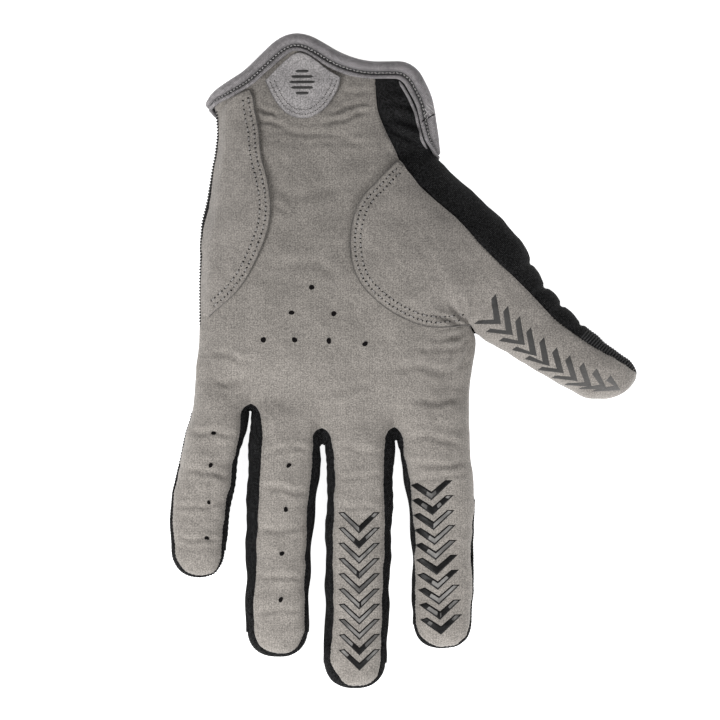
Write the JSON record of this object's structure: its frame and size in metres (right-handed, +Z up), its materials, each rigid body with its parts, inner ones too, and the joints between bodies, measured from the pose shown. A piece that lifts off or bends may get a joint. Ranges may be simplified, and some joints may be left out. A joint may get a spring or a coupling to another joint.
{
  "type": "full-finger sport glove",
  "caption": "Left-hand full-finger sport glove lying palm up, suede palm with sewn patches, black stretch back, open cuff bound with tape.",
  "frame": {"origin": "on the table under the middle of the glove's outline", "axes": "+Z up out of the palm, -Y towards the fingertips, +X towards the thumb"},
  "size_m": [0.1679, 0.2354, 0.0267],
  "materials": {
    "palm_suede": "matt micro-suede",
    "stretch_fabric": "matt ribbed stretch fabric",
    "tab_fabric": "matt brushed fabric",
    "binding_tape": "fine ribbed tape"
  },
  "bodies": {
    "root": {"palm_panel": "palm_suede", "back_panel": "stretch_fabric", "thumb_panel": "palm_suede", "thumb_back": "stretch_fabric", "heel_patch": "palm_suede", "wrist_tab": "tab_fabric", "cuff_binding": "binding_tape", "web_pinky_ring": "stretch_fabric", "web_ring_middle": "stretch_fabric", "web_middle_index": "stretch_fabric"}
  },
  "joints": []
}
